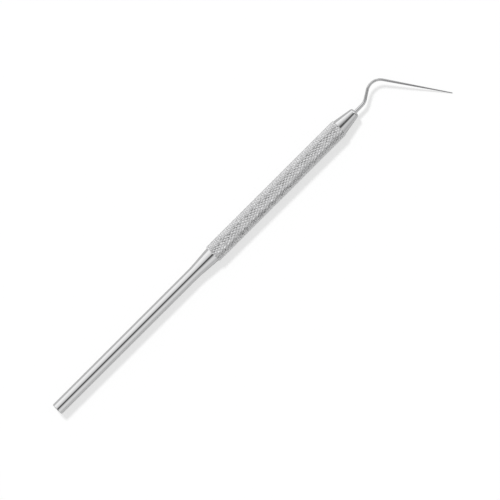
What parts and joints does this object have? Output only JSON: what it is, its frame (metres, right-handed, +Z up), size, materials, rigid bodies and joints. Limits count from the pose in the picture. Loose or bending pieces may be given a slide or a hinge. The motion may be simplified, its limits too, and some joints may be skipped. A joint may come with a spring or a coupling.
{
  "type": "root canal spreader",
  "caption": "Dental root canal spreader: solid steel handle with a plain round tail and a diamond-knurled grip, and a bent needle point that tapers to a fine tip.",
  "frame": {"origin": "centre of the bounding box in plan, on the surface that the instrument lies on", "axes": "+X along the handle from tail to nose, +Z up from the surface, and the point turns to -Y"},
  "size_m": [0.164, 0.0214, 0.0064],
  "materials": {
    "handle_steel": "polished stainless steel with fine turning lines, knurled grip",
    "point_steel": "satin stainless steel, drawn and ground to a taper"
  },
  "bodies": {
    "root": {"handle": "handle_steel", "working_end": "point_steel"}
  },
  "joints": []
}
